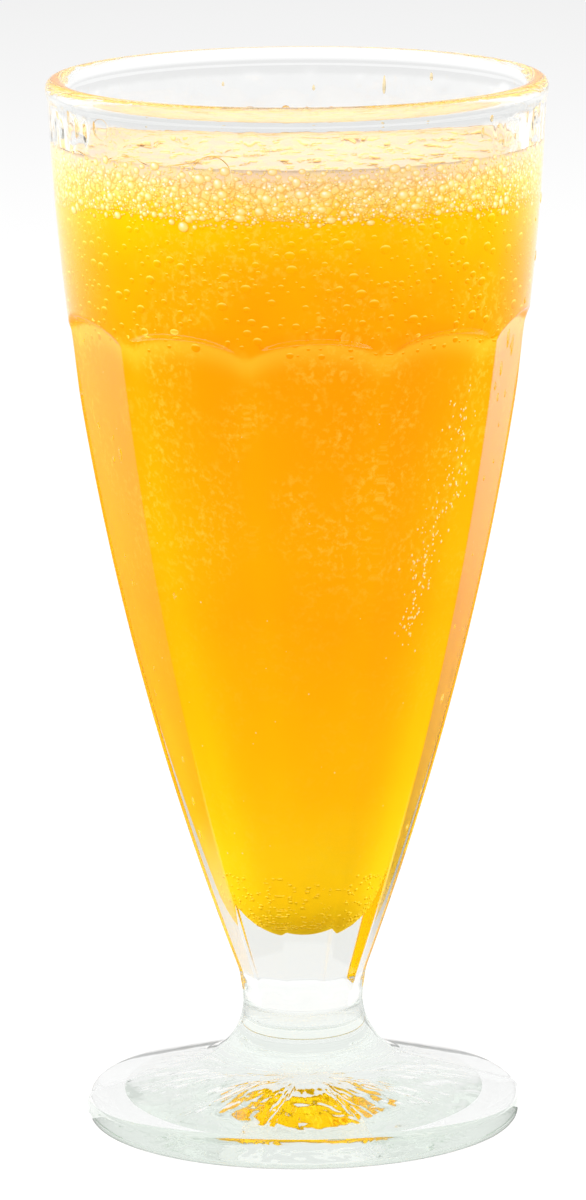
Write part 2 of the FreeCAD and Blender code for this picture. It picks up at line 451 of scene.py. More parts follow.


# The soda, in millimetres. It reaches just into the wall, so that no air gap shows. The stops run
# from the bottom of the bowl to the froth; the paler ones next to the froth are painted light from
# above.
sodaValues = dict(
    intoWall=0.15, steps=180, row=0.7, topLevel=drinkHigh[2] / mm, topRound=0.1,
    paintedArchLight=0.5, paintedArchLightShade="#ffcf3c", pulpShade="#ffd650", pulpLow=92.0, pulpHigh=108.0,
    sheen=0.85, sheenShade="#ffe03c", ior=1.34,
    stops=[(0.0, "#fec00a"), (0.035, "#feca0e"), (0.09, "#fecb10"), (0.21, "#febe05"),
           (0.33, "#feb502"), (0.45, "#feac02"), (0.55, "#feae02"), (0.66, "#fea902"),
           (0.76, "#fea402"), (0.85, "#fea302"), (0.91, "#feac02"), (1.0, "#fec402")],
)


def makeSodaMaterial(s):
    # Orange soda with juice in it: cloudy, so light scatters in it and no depth shows. Deepest orange
    # where the bowl is wide, paler next to the froth as painted light from above, with pulp and fine
    # bubbles as paler flecks about 1 mm across.
    material, tree = newMaterial("cloudyOrangeSoda")
    place = addNode(tree, "ShaderNodeTexCoord")
    split = addNode(tree, "ShaderNodeSeparateXYZ", inputs={0: place.outputs["Object"]})
    cloud = addNode(tree, "ShaderNodeTexNoise", inputs={
        "Vector": place.outputs["Object"], "Scale": 55.0, "Detail": 3.0, "Roughness": 0.55})
    height = addNode(tree, "ShaderNodeMapRange", inputs={
        "Value": split.outputs["Z"], "From Min": drinkLow[2], "From Max": drinkHigh[2]})
    drift = addNode(tree, "ShaderNodeMath", {"operation": "MULTIPLY_ADD"}, {
        0: cloud.outputs[0], 1: 0.16, 2: -0.08})
    level = addNode(tree, "ShaderNodeMath", {"operation": "ADD"}, {
        0: height.outputs[0], 1: drift.outputs[0]})
    ramp = addNode(tree, "ShaderNodeValToRGB", inputs={0: level.outputs[0]})
    setStops(ramp, s["stops"])
    # the flecks gather in patches, most of all in the upper part of the bowl
    fleck = addNode(tree, "ShaderNodeTexNoise", inputs={
        "Vector": place.outputs["Object"], "Scale": 900.0, "Detail": 4.0, "Roughness": 0.65})
    patch = addNode(tree, "ShaderNodeTexNoise", inputs={
        "Vector": place.outputs["Object"], "Scale": 70.0, "Detail": 2.0})
    flecks = addNode(tree, "ShaderNodeMapRange", inputs={
        "Value": fleck.outputs[0], "From Min": 0.5, "From Max": 0.68, "To Max": 0.42})
    patches = addNode(tree, "ShaderNodeMapRange", {"interpolation_type": "SMOOTHSTEP"}, {
        "Value": patch.outputs[0], "From Min": 0.40, "From Max": 0.60})
    zone = addNode(tree, "ShaderNodeMapRange", {"interpolation_type": "SMOOTHSTEP"}, {
        "Value": split.outputs["Z"], "From Min": s["pulpLow"] * mm, "From Max": s["pulpHigh"] * mm,
        "To Min": 0.25, "To Max": 1.0})
    amount = addNode(tree, "ShaderNodeMath", {"operation": "MULTIPLY"}, {
        0: flecks.outputs[0], 1: patches.outputs[0]})
    amount = addNode(tree, "ShaderNodeMath", {"operation": "MULTIPLY"}, {
        0: amount.outputs[0], 1: zone.outputs[0]})
    mix = addNode(tree, "ShaderNodeMix", {"data_type": "RGBA"}, {
        0: amount.outputs[0], 6: ramp.outputs["Color"], 7: colour(s["pulpShade"])})
    # painted light: the arches of the glass throw soft bright bands on the soda, painted into its colour
    glow = addNode(tree, "ShaderNodeAttribute", {"attribute_name": "paintedArchLight"})
    mix = addNode(tree, "ShaderNodeMix", {"data_type": "RGBA"}, {
        0: glow.outputs["Fac"], 6: mix.outputs[2], 7: colour(s["paintedArchLightShade"])})
    body = addNode(tree, "ShaderNodeBsdfPrincipled", inputs={
        "Base Color": mix.outputs[2], "Roughness": 0.6, "IOR": s["ior"], "Specular IOR Level": 0.0,
        "Sheen Weight": s["sheen"], "Sheen Roughness": 0.4, "Sheen Tint": colour(s["sheenShade"])})
    addNode(tree, "ShaderNodeOutputMaterial", inputs={"Surface": body.outputs["BSDF"]})
    return material


def makeSoda(s):
    wall = hollowOutline(glassValues, s["intoWall"], s["row"])
    level, corner = s["topLevel"], s["topRound"]
    side = [p for p in wall if p[1] < level]
    edge = radiusAt(wall, level)
    top = [(edge, level - corner), (edge - corner, level), (0.0, level)]
    mesh = spinOutline(side + top, s["steps"])
    # painted light: each corner stores how bright the band under the arch above it is
    glow = mesh.verts.layers.float.new("paintedArchLight")
    for vert in mesh.verts:
        turn = math.atan2(vert.co.y, vert.co.x)
        below = archEdge(glassValues, cornerTurn(glassValues, turn)) - vert.co.z / mm
        vert[glow] = s["paintedArchLight"] * math.exp(-((below - 1.2) / (1.0 if below < 1.2 else 2.4)) ** 2)
    return toMeshData(mesh, "soda")


finishPiece(makeSoda(sodaValues), "orangeSoda", makeSodaMaterial(sodaValues), "orange_soda", "drink")
print("soda")


# The froth, in millimetres. Its lower edge hangs down into the soda and its upper edge climbs where
# it wets the glass. A cell is one flattened bubble.
frothValues = dict(
    intoWall=0.2, level=frothHigh[2] / mm, low=frothLow[2] / mm, hang=0.6, climb=0.9, climbWidth=0.9,
    sink=0.3, unevenness=0.35, cell=1.3, steps=360, ior=1.34,
    stops=[(0.0, "#fec808"), (0.14, "#fecc1e"), (0.32, "#fed64e"), (0.55, "#fdde7c"),
           (0.8, "#f5d9ac"), (1.0, "#eccfb2")],
    paintedLightStops=[(0.0, "#dc9218"), (0.12, "#f4b02c"), (0.28, "#fdd468"), (0.5, "#fee69c"),
               (0.72, "#fffbe6"), (0.9, "#ffffff")],
    blotchShade="#f9dc8c", wallShade="#efc47c", borderShade="#e9a322", paintedGlintShade="#fffbe8",
)


# the froth's own colour: juice collects low down, so it runs from orange to peach and cream
def addFrothBase(s, tree, place, split):
    cloud = addNode(tree, "ShaderNodeTexNoise", inputs={
        "Vector": place.outputs["Object"], "Scale": 260.0, "Detail": 3.0})
    drift = addNode(tree, "ShaderNodeMath", {"operation": "MULTIPLY_ADD"}, {
        0: cloud.outputs[0], 1: 0.006, 2: -0.003})
    up = addNode(tree, "ShaderNodeMath", {"operation": "ADD"}, {
        0: split.outputs["Z"], 1: drift.outputs[0]})
    height = addNode(tree, "ShaderNodeMapRange", inputs={
        "Value": up.outputs[0], "From Min": s["low"] * mm - 0.001,
        "From Max": s["level"] * mm + 0.0005})
    base = addNode(tree, "ShaderNodeValToRGB", inputs={0: height.outputs[0]})
    setStops(base, s["stops"])
    return base


def makeFrothMaterial(s):
    # soda froth: wet bubbles about 1 mm across with thin gold walls
    material, tree = newMaterial("wetSodaFroth")
    place = addNode(tree, "ShaderNodeTexCoord")
    split = addNode(tree, "ShaderNodeSeparateXYZ", inputs={0: place.outputs["Object"]})
    base = addFrothBase(s, tree, place, split)
    cells = addNode(tree, "ShaderNodeTexVoronoi", {"feature": "DISTANCE_TO_EDGE"}, {
        "Vector": place.outputs["Object"], "Scale": 1000.0 / s["cell"]})
    walls = addNode(tree, "ShaderNodeMapRange", inputs={
        "Value": cells.outputs["Distance"], "From Min": 0.0, "From Max": 0.10,
        "To Min": 0.14, "To Max": 0.0})
    blotch = addNode(tree, "ShaderNodeTexNoise", inputs={
        "Vector": place.outputs["Object"], "Scale": 420.0, "Detail": 2.0})
    blotches = addNode(tree, "ShaderNodeMapRange", inputs={
        "Value": blotch.outputs[0], "From Min": 0.50, "From Max": 0.68, "To Max": 0.7})
    mix = addNode(tree, "ShaderNodeMix", {"data_type": "RGBA"}, {
        0: blotches.outputs[0], 6: base.outputs["Color"], 7: colour(s["blotchShade"])})
    mix = addNode(tree, "ShaderNodeMix", {"data_type": "RGBA"}, {
        0: walls.outputs[0], 6: mix.outputs[2], 7: colour(s["wallShade"])})
    # against the glass the cells are flattened, with gold borders and small bright glints, which are
    # painted highlights
    band = addNode(tree, "ShaderNodeMapRange", inputs={
        "Value": split.outputs["Z"], "From Min": (s["level"] - 1.3) * mm,
        "From Max": (s["level"] - 0.4) * mm, "To Min": 1.0, "To Max": 0.0})
    border = addNode(tree, "ShaderNodeMapRange", inputs={
        "Value": cells.outputs["Distance"], "From Min": 0.02, "From Max": 0.16,
        "To Min": 0.62, "To Max": 0.0})
    spots = addNode(tree, "ShaderNodeTexVoronoi", {"feature": "F1"}, {
        "Vector": place.outputs["Object"], "Scale": 1100.0})
    paintedGlint = addNode(tree, "ShaderNodeMapRange", {"interpolation_type": "SMOOTHSTEP"}, {
        "Value": spots.outputs["Distance"], "From Min": 0.14, "From Max": 0.34,
        "To Min": 0.95, "To Max": 0.0})
    for amount, shade in ((border, s["borderShade"]), (paintedGlint, s["paintedGlintShade"])):
        amount = addNode(tree, "ShaderNodeMath", {"operation": "MULTIPLY"}, {
            0: amount.outputs[0], 1: band.outputs[0]})
        mix = addNode(tree, "ShaderNodeMix", {"data_type": "RGBA"}, {
            0: amount.outputs[0], 6: mix.outputs[2], 7: colour(shade)})
    bump = addNode(tree, "ShaderNodeBump", inputs={
        "Height": cells.outputs["Distance"], "Strength": 0.3, "Distance": 0.0004})
    body = addNode(tree, "ShaderNodeBsdfPrincipled", inputs={
        "Base Color": mix.outputs[2], "Roughness": 0.35, "IOR": s["ior"],
        "Specular IOR Level": 0.3, "Normal": bump.outputs[0]})
    addNode(tree, "ShaderNodeOutputMaterial", inputs={"Surface": body.outputs["BSDF"]})
    return material


def makeFrothBubbleMaterial(s):
    # one wet bubble: the froth's colour under painted light, with a gold border that is partly painted
    # shade, a pale cap and a painted highlight as a glint
    material, tree = newMaterial("frothBubble")
    place = addNode(tree, "ShaderNodeTexCoord")
    split = addNode(tree, "ShaderNodeSeparateXYZ", inputs={0: place.outputs["Object"]})
    base = addFrothBase(s, tree, place, split)
    paintedLight = addNode(tree, "ShaderNodeAttribute", {"attribute_name": "paintedLight"})
    tint = addNode(tree, "ShaderNodeValToRGB", inputs={0: paintedLight.outputs["Fac"]})
    setStops(tint, s["paintedLightStops"])
    mix = addNode(tree, "ShaderNodeMix", {"data_type": "RGBA"}, {
        0: 0.72, 6: base.outputs["Color"], 7: tint.outputs["Color"]})
    body = addNode(tree, "ShaderNodeBsdfPrincipled", inputs={
        "Base Color": mix.outputs[2], "Roughness": 0.35, "IOR": s["ior"], "Specular IOR Level": 0.3})
    addNode(tree, "ShaderNodeOutputMaterial", inputs={"Surface": body.outputs["BSDF"]})
    return material


def makeFroth(s):
    wall = hollowOutline(glassValues, s["intoWall"])
    low, top = s["low"] - s["hang"], s["level"]
    sideLow, rise = s["low"] + 0.4, top + s["climb"] - s["low"] - 0.4
    ups = [low, low + 0.12] + [sideLow + rise * i / 8 for i in range(9)]
    side = [(radiusAt(wall, up), up) for up in ups]
    edge = side[-1][0]
    across = [(edge - d, top - s["sink"] + (s["climb"] + s["sink"]) * math.exp(-d / s["climbWidth"]))
              for d in (0.3, 0.7, 1.2, 1.8, 2.6)]
    inner = [(edge - 3.5 - i * 1.4, top - s["sink"]) for i in range(int((edge - 3.5) / 1.4) + 1)]
    bottom, middle = [(0.0, low), (edge - 1.0, low)], [(0.0, top - s["sink"])]
    mesh = spinOutline(bottom + side + across + inner + middle, s["steps"])
    for vert in mesh.verts:
        # a ragged lower edge, where bubbles hang down into the soda
        if vert.co.z < (s["low"] + 0.2) * mm:
            hang = noise.noise(vert.co * 260) + 0.7 * noise.noise(vert.co * 700)
            vert.co.z += (hang * 0.6 + 0.1) * s["hang"] * mm
        if vert.co.z > (top - 0.6) * mm and math.hypot(vert.co.x, vert.co.y) < (edge - 0.2) * mm:
            vert.co.z += noise.noise(vert.co * 240) * s["unevenness"] * mm
    return toMeshData(mesh, "froth")


finishPiece(makeFroth(frothValues), "frothBody", makeFrothMaterial(frothValues), "froth", "froth")
print("froth body")


# The bubbles, in millimetres: on top of the froth, against the wall, held at the wall in the upper
# soda, and fine ones in the bottom of the bowl.
bubbleValues = dict(
    topCount=2300, topSmall=0.3, topLarge=1.0, topFlatness=0.36,
    wallCount=3700, wallSmall=0.2, wallLarge=0.9, wallLow=160.4, wallWave=0.9, wallProud=0.17,
    risingCount=1150, risingSmall=0.25, risingLarge=1.05, risingHigh=161.0, risingDepth=24.0,
    foamCount=700, foamSmall=0.12, foamLarge=0.34, foamLow=35.6, foamDepth=9.5, heldProud=0.13,
    heldHighlightShade="#ffe664",
)
random.seed(11)
domeTiny = makeDome("domeTiny", 1, frothPaintedLight)
domeSmall = makeDome("domeSmall", 2, frothPaintedLight)
domeLarge = makeDome("domeLarge", 3, frothPaintedLight)
crescentSmall = makeDome("crescentSmall", 2, crescentHighlight)
crescentTiny = makeDome("crescentTiny", 1, crescentHighlight)


# many small ones and few large ones: the higher the power, the fewer are large
def drawSize(small, large, power):
    return small + (large - small) * random.random() ** power


def makeTopBubbles(s):
    edge = radiusAt(insideOutline, frothValues["level"]) - 0.4

    def spread():
        out, turn = edge * math.sqrt(random.random()), random.uniform(-math.pi, math.pi)
        radius = drawSize(s["topSmall"], s["topLarge"], 2.6)
        return out * math.cos(turn), out * math.sin(turn), radius

    placed = []
    climb = frothValues["climb"] + frothValues["sink"]
    for x, y, radius in scatter(s["topCount"], spread, 0.8):
        lift = frothValues["level"] - 0.42 + noise.noise(Vector((x, y, 0)) * 0.24) * 0.35
        lift += climb * math.exp(-(edge + 0.5 - math.hypot(x, y)) / frothValues["climbWidth"])
        size = (radius * mm, radius * mm, radius * s["topFlatness"] * mm, 1)
        place = Matrix.Translation(Vector((x, y, lift)) * mm) @ Matrix.Diagonal(size)
        placed.append((domeSmall if radius > 0.5 else domeTiny, place))
    return joinCopies(placed, "topBubbles")


def makeWallBubbles(s):
    wall = radiusAt(insideOutline, 163)
    around = math.pi * wall
    high = frothValues["level"] + frothValues["climb"]

    def spread():
        x = random.uniform(-around, around)
        spot = Vector((math.cos(x / wall), math.sin(x / wall), 0))
        low = s["wallLow"] + s["wallWave"] * noise.noise(spot * 4.5)
        up = low + (high - low) * random.random() ** 1.35
        # one in ten hangs below the others
        if random.random() < 0.10:
            up = low - random.random() ** 2 * 1.6
        return x, up, drawSize(s["wallSmall"], s["wallLarge"], 3.2)

    placed = []
    for x, up, radius in scatter(s["wallCount"], spread, 0.7, tries=30):
        wide = radius * random.uniform(0.9, 1.3)
        size = (wide, radius * random.uniform(0.8, 1.1), 0.06 + radius * 0.13)
        shape = domeLarge if radius > 0.8 else domeSmall if radius > 0.4 else domeTiny
        placed.append((shape, wallFrame(insideAt, math.degrees(x / wall), up, s["wallProud"], size)))
    return joinCopies(placed, "wallBubbles")


def makeRisingBubbles(s):
    wall = radiusAt(insideOutline, 150)
    around = math.pi * wall

    def spread():
        up = s["risingHigh"] - s["risingDepth"] * random.random() ** 1.5
        radius = drawSize(s["risingSmall"], s["risingLarge"], 2.2)
        return random.uniform(-around, around), up, radius

    placed = []
    for x, up, radius in scatter(s["risingCount"], spread, 1.1):
        size = (radius, radius * 0.85, 0.06 + radius * 0.05)
        place = wallFrame(insideAt, math.degrees(x / wall), up, s["heldProud"], size)
        placed.append((crescentSmall, place))
    for _ in range(s["foamCount"]):
        size = random.uniform(s["foamSmall"], s["foamLarge"])
        up = s["foamLow"] + s["foamDepth"] * random.random() ** 1.5
        place = wallFrame(insideAt, random.uniform(-180, 180), up, s["heldProud"],
                          (size * 1.5, size, size * 0.3))
        placed.append((crescentTiny, place))
    return joinCopies(placed, "risingBubbles")


def makeRisingMaterial(s):
    # air bubbles held at the wall of the soda, with a painted highlight: a paler, yellower cap where
    # light comes in from above
    material, tree = newMaterial("risingBubble")
    place = addNode(tree, "ShaderNodeTexCoord")
    split = addNode(tree, "ShaderNodeSeparateXYZ", inputs={0: place.outputs["Object"]})
    height = addNode(tree, "ShaderNodeMapRange", inputs={
        "Value": split.outputs["Z"], "From Min": drinkLow[2], "From Max": drinkHigh[2]})
    base = addNode(tree, "ShaderNodeValToRGB", inputs={0: height.outputs[0]})
    setStops(base, sodaValues["stops"])
    paintedLight = addNode(tree, "ShaderNodeAttribute", {"attribute_name": "paintedLight"})
    lit = addNode(tree, "ShaderNodeMapRange", {"interpolation_type": "SMOOTHSTEP"}, {
        "Value": paintedLight.outputs["Fac"], "From Min": 0.12, "From Max": 0.8, "To Max": 0.8})
    mix = addNode(tree, "ShaderNodeMix", {"data_type": "RGBA"}, {
        0: lit.outputs[0], 6: base.outputs["Color"], 7: colour(s["heldHighlightShade"])})
    body = addNode(tree, "ShaderNodeBsdfPrincipled", inputs={
        "Base Color": mix.outputs[2], "Roughness": 0.4, "IOR": 1.34, "Specular IOR Level": 0.0})
    addNode(tree, "ShaderNodeOutputMaterial", inputs={"Surface": body.outputs["BSDF"]})
    return material


bubbleMaterial = makeFrothBubbleMaterial(frothValues)
finishPiece(makeTopBubbles(bubbleValues), "topBubbles", bubbleMaterial, "froth")
finishPiece(makeWallBubbles(bubbleValues), "wallBubbles", bubbleMaterial, "froth")
finishPiece(makeRisingBubbles(bubbleValues), "risingBubbles", makeRisingMaterial(bubbleValues),
            "orange_soda")
print("bubbles")


# The borders of the large clear bubbles that stand against the glass, and of the liquid film on the
# wall. A bubble is its turn in degrees, height and radius, and a point of the line its turn and height.
filmValues = dict(
    border=0.05, fineBorder=0.022, fineFrom=1.5, line=0.075, proud=0.06, lineProud=0.05,
    largeBubbles=[
        (-140.1, 167.7, 1.95), (-125.2, 167.1, 1.8), (-115.6, 167.4, 3.3), (-129.0, 165.4, 0.9),
        (-123.6, 163.9, 1.3), (-119.8, 164.2, 1.0), (-148.7, 166.9, 1.5), (-148.7, 173.6, 1.9),
        (-166.5, 164.4, 1.8), (-133.6, 162.9, 1.0), (-37.3, 166.3, 1.1), (-32.6, 165.7, 1.25),
        (-18.5, 167.6, 1.6), (-54.0, 163.4, 1.1), (40.0, 166.4, 2.0), (63.0, 165.2, 1.4),
        (98.0, 166.8, 2.3), (121.0, 164.6, 1.2), (150.0, 166.2, 1.7)],
    filmLine=[
        (-168.0, 166.2), (-166.0, 168.0), (-163.0, 169.1), (-159.7, 169.2), (-154.7, 168.5),
        (-150.5, 167.9), (-145.0, 169.0), (-141.5, 169.9), (-138.2, 169.7), (-134.7, 168.7),
        (-130.7, 168.2), (-126.6, 168.8), (-121.5, 169.3), (-118.8, 170.1), (-114.5, 171.0),
        (-109.0, 170.6)],
)


def makeRing(name, thickness):
    mesh = bmesh.new()
    upright = Matrix.Translation((1, 0, 0)) @ Matrix.Rotation(math.pi / 2, 4, "X")
    bmesh.ops.create_circle(mesh, segments=6, radius=1.0,
                            matrix=upright @ Matrix.Scale(thickness, 4))
    bmesh.ops.spin(mesh, geom=mesh.verts[:] + mesh.edges[:], cent=(0, 0, 0), axis=(0, 0, 1),
                   angle=2 * math.pi, steps=28, use_merge=True)
    bmesh.ops.remove_doubles(mesh, verts=mesh.verts, dist=1e-5)
    bmesh.ops.recalc_face_normals(mesh, faces=mesh.faces)
    return toMeshData(mesh, name)


# the film's line as a thin tube on the wall
def makeFilmLine(s):
    curve = bpy.data.curves.new("filmLine", "CURVE")
    curve.dimensions = "3D"
    curve.bevel_depth = s["line"] * mm
    curve.bevel_resolution = 1
    spline = curve.splines.new("NURBS")
    spline.points.add(len(s["filmLine"]) - 1)
    for point, (turn, up) in zip(spline.points, s["filmLine"]):
        spot = wallFrame(insideAt, turn, up, s["lineProud"], (1, 1, 1)).translation
        point.co = (*spot, 1.0)
    spline.order_u = 3
    spline.use_endpoint_u = True
    holder = bpy.data.objects.new("filmLine", curve)
    bpy.context.collection.objects.link(holder)
    bpy.context.view_layer.update()
    shape = holder.evaluated_get(bpy.context.evaluated_depsgraph_get())
    line = bpy.data.meshes.new_from_object(shape)
    bpy.data.objects.remove(holder)
    bpy.data.curves.remove(curve)
    return line


def makeFilmEdges(s):
    ring, fineRing = makeRing("ring", s["border"]), makeRing("fineRing", s["fineBorder"])
    placed = []
    for turn, up, radius in s["largeBubbles"]:
        shape = ring if radius < s["fineFrom"] else fineRing
        placed.append((shape, wallFrame(insideAt, turn, up, s["proud"], (radius, radius, 1.0))))
    mesh = bmesh.new()
    mesh.from_mesh(joinCopies(placed, "borders"))
    mesh.from_mesh(makeFilmLine(s))
    return toMeshData(mesh, "filmEdges")


def makeEdgeMaterial():
    # the thick liquid border where a bubble meets the glass: it bends light away, so it looks gold-brown
    material, tree = newMaterial("liquidBorder")
    place = addNode(tree, "ShaderNodeTexCoord")
    grain = addNode(tree, "ShaderNodeTexNoise", inputs={
        "Vector": place.outputs["Object"], "Scale": 320.0, "Detail": 2.0})
    ramp = addNode(tree, "ShaderNodeValToRGB", inputs={0: grain.outputs[0]})
    setStops(ramp, [(0.32, "#a57a24"), (0.46, "#d3a038"), (0.56, "#f6d68c"), (0.68, "#fff3d0")])
    body = addNode(tree, "ShaderNodeBsdfPrincipled", inputs={
        "Base Color": ramp.outputs["Color"], "Roughness": 0.2, "IOR": 1.34})
    addNode(tree, "ShaderNodeOutputMaterial", inputs={"Surface": body.outputs["BSDF"]})
    return material


finishPiece(makeFilmEdges(filmValues), "filmEdges", makeEdgeMaterial(), "froth")
print("film edges")


# Drops outside, streaks of soda that ran down the wall inside, and the trail of fine bubbles. A spot
# is its turn in degrees, height, width and length, and a point of the trail its turn and height.
dropValues = dict(
    water="#ffffff", waterIor=1.333, film="#ffedc4", filmIor=1.34, filmThickness=0.2,
    outerCount=46, outerTurns=(-175, -168, -160, -15, -8, -22, 30, 75, 110, 150),
    outerSpots=[
        (-20.6, 136.0, 0.45, 1.7), (-13.7, 134.2, 0.4, 1.9), (-25.4, 131.4, 0.45, 1.3),
        (-30.4, 129.0, 0.4, 0.8), (-156.2, 118.0, 0.55, 1.1), (-160.0, 120.5, 0.3, 0.4),
        (-138.6, 95.0, 0.3, 0.6), (-20.0, 142.5, 0.3, 0.6), (-9.0, 149.0, 0.3, 1.0),
        (-7.0, 158.5, 0.35, 1.0), (-14.0, 126.0, 0.3, 0.7), (-17.0, 121.0, 0.25, 0.5)],
    innerSpots=[
        (-164, 174.6, 0.4, 1.6), (-160, 172.4, 0.3, 1.2), (-151.5, 173.6, 0.28, 1.3),
        (-15, 174.6, 0.45, 1.7), (-24, 174.0, 0.28, 1.2), (-20, 173.2, 0.4, 2.0),
        (-41.2, 175.3, 0.32, 0.8), (-44.3, 172.8, 0.3, 0.9), (-38.3, 173.4, 0.2, 0.3),
        (-24.3, 165.5, 0.75, 2.2), (-26.4, 161.8, 0.55, 1.1), (-36.0, 170.6, 0.25, 0.5),
        (-30.5, 171.2, 0.22, 0.5), (62.0, 173.0, 0.3, 1.6), (81.0, 172.2, 0.25, 0.5),
        (48.0, 174.9, 0.3, 0.7), (105.0, 173.2, 0.22, 0.4), (130.0, 171.0, 0.25, 0.6)],
    trailCount=190, strayCount=110, fineProud=0.12, trailWidth=3.2, trailHeight=2.4,
    trail=[(-42.4, 128.6), (-38.0, 115.5), (-45.0, 107.6), (-49.2, 101.1), (-51.2, 94.5),
           (-52.0, 87.7)],
)


# a drop that hangs on a wall is fuller at the bottom
def makeDrop(name, detail):
    mesh = bmesh.new()
    bmesh.ops.create_icosphere(mesh, subdivisions=detail, radius=1.0)
    for vert in mesh.verts:
        vert.co.x *= 1.0 - 0.28 * vert.co.y
    return toMeshData(mesh, name)


drop = makeDrop("drop", 3)


def makeOuterDrops(s):
    random.seed(5)
    spots = list(s["outerSpots"])
    for _ in range(s["outerCount"]):
        turn = random.choice(s["outerTurns"]) + random.uniform(-7, 7)
        size = random.uniform(0.16, 0.42)
        spots.append((turn, random.uniform(50, 172), size, size * random.uniform(1.0, 2.4)))
    placed = [(drop, wallFrame(outsideAt, turn, up, -0.02, (width, length, width * 0.55)))
              for turn, up, width, length in spots]
    return joinCopies(placed, "outerDrops")


def makeInnerFilm(s):
    placed = [(drop, wallFrame(insideAt, turn, up, 0.02, (width, length, s["filmThickness"]), -1))
              for turn, up, width, length in s["innerSpots"]]
    return joinCopies(placed, "innerFilm")


def makeFineBubbles(s):
    random.seed(3)
    trail = s["trail"]
    placed = []
    for _ in range(s["trailCount"]):
        at = random.random() * (len(trail) - 1)
        i = int(at)
        (turnA, upA), (turnB, upB) = trail[i], trail[i + 1]
        turn = turnA + (turnB - turnA) * (at - i) + random.gauss(0, s["trailWidth"])
        up = upA + (upB - upA) * (at - i) + random.gauss(0, s["trailHeight"])
        size = random.uniform(0.12, 0.30)
        size = (size, size * random.uniform(1.0, 1.7), size * 0.5)
        placed.append((domeTiny, wallFrame(insideAt, turn, up, s["fineProud"], size)))
    # a few more all round
    for _ in range(s["strayCount"]):
        size = random.uniform(0.08, 0.18)
        turn, up = random.uniform(-180, 180), random.uniform(48, 135)
        size = (size, size * 1.2, size * 0.5)
        placed.append((domeTiny, wallFrame(insideAt, turn, up, s["fineProud"], size)))
    return joinCopies(placed, "fineBubbles")


def makeFineMaterial():
    # painted reflection and highlight: the smallest bubbles mirror the white room, so they are coloured
    # nearly white towards their glint
    material, tree = newMaterial("fineBubble")
    paintedLight = addNode(tree, "ShaderNodeAttribute", {"attribute_name": "paintedLight"})
    ramp = addNode(tree, "ShaderNodeValToRGB", inputs={0: paintedLight.outputs["Fac"]})
    setStops(ramp, [(0.1, "#fdb81c"), (0.4, "#fee08c"), (0.75, "#fffdf6")])
    body = addNode(tree, "ShaderNodeBsdfPrincipled", inputs={
        "Base Color": ramp.outputs["Color"], "Roughness": 0.3, "IOR": 1.34})
    addNode(tree, "ShaderNodeOutputMaterial", inputs={"Surface": body.outputs["BSDF"]})
    return material


waterMaterial = makeClearMaterial("clearWater", dropValues["water"], dropValues["waterIor"])
filmMaterial = makeClearMaterial("thinSodaFilm", dropValues["film"], dropValues["filmIor"])
finishPiece(makeOuterDrops(dropValues), "outerDrops", waterMaterial, "clear_glass")
finishPiece(makeInnerFilm(dropValues), "innerFilm", filmMaterial, "orange_soda")
finishPiece(makeFineBubbles(dropValues), "fineBubbles", makeFineMaterial(), "orange_soda")
print("drops")


# The studio, in metres and degrees. The levels are of what gloss and glass see: a white room behind
# and a dimmer side in front, and less of both in a first reflection.
studioValues = dict(
    cameraDistance=1.242, cameraHeight=0.337, pitch=11.255, roll=-0.4, turn=-4.6, aimLeft=0.057,
    lens=224.5, floorRadius=8.0, floorShade="#f2f2f2", frontDim=0.97, horizon=0.86,
    frontLevel=0.62, backLevel=0.97, glossFront=0.36, glossBack=0.78, ceiling=0.85, ambient=0.95,
    lamps=[("frontLamp", (-0.25, -1.15, 0.62), 0.9, 10.6),
           ("leftLamp", (-1.1, 0.45, 0.36), 0.7, 16.0),
           ("rightLamp", (1.1, 0.45, 0.36), 0.7, 19.2)],
)


